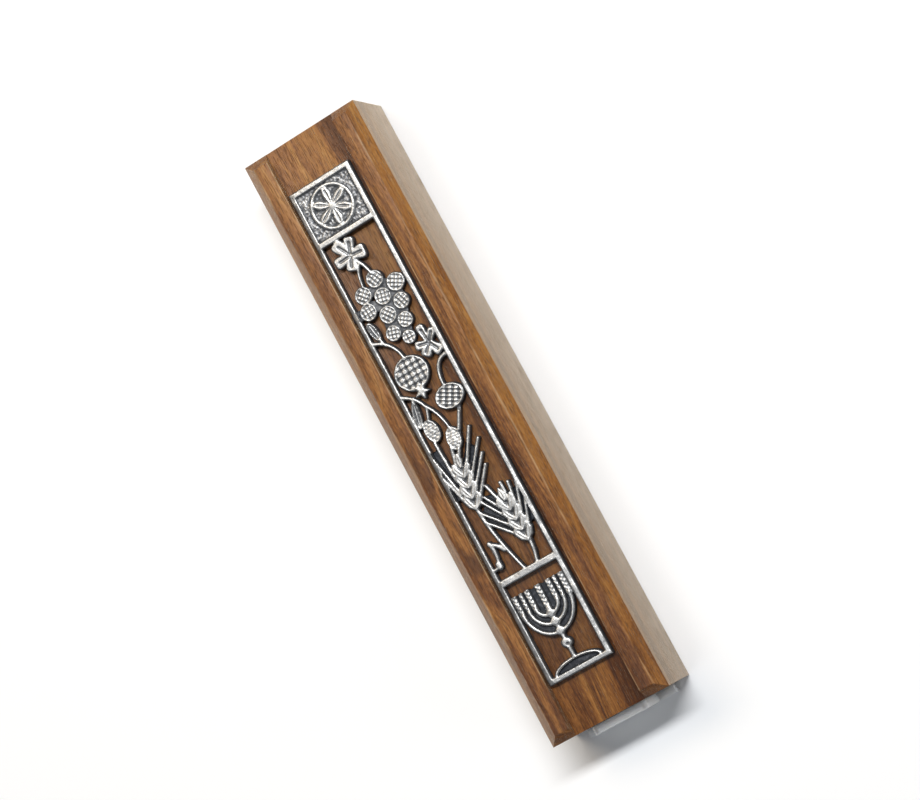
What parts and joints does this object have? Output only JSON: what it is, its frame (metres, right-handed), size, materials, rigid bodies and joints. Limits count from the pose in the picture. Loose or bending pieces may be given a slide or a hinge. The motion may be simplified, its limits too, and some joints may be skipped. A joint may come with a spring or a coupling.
{
  "type": "mezuzah case",
  "caption": "Wooden mezuzah case with an openwork pewter plaque of fruit, wheat and a branched lamp, and a slide-out back plate that carries the wrapped scroll.",
  "frame": {"origin": "middle of the back plate's flat outer face, on the case's centre line and halfway along the wooden case", "axes": "+X across the case, +Y along the case towards its head, +Z out of the decorated front; the case lies on its back"},
  "size_m": [0.0286, 0.142, 0.0193],
  "materials": {
    "wood": "oiled, open-pored red-brown hardwood with straight grain along the case",
    "pewter": "cast pewter, blackened in the recesses and tumbled bright on the relief",
    "white_plastic": "satin moulded white plastic",
    "parchment": "matt rolled parchment",
    "wrap": "thin translucent film sleeve"
  },
  "bodies": {
    "case": {"wood_case": "wood", "plaque": "pewter"},
    "plate": {"back_plate": "white_plastic"},
    "scroll": {"parchment_scroll": "parchment", "scroll_wrap": "wrap"}
  },
  "joints": [
    {"name": "plate_slide", "type": "slide", "parent": "case", "child": "plate", "axis": [0, -1, 0], "range_m": [0, 0.13]},
    {"name": "scroll_slide", "type": "slide", "parent": "plate", "child": "scroll", "axis": [0, 1, 0], "range_m": [-0.011, 0.01]}
  ]
}
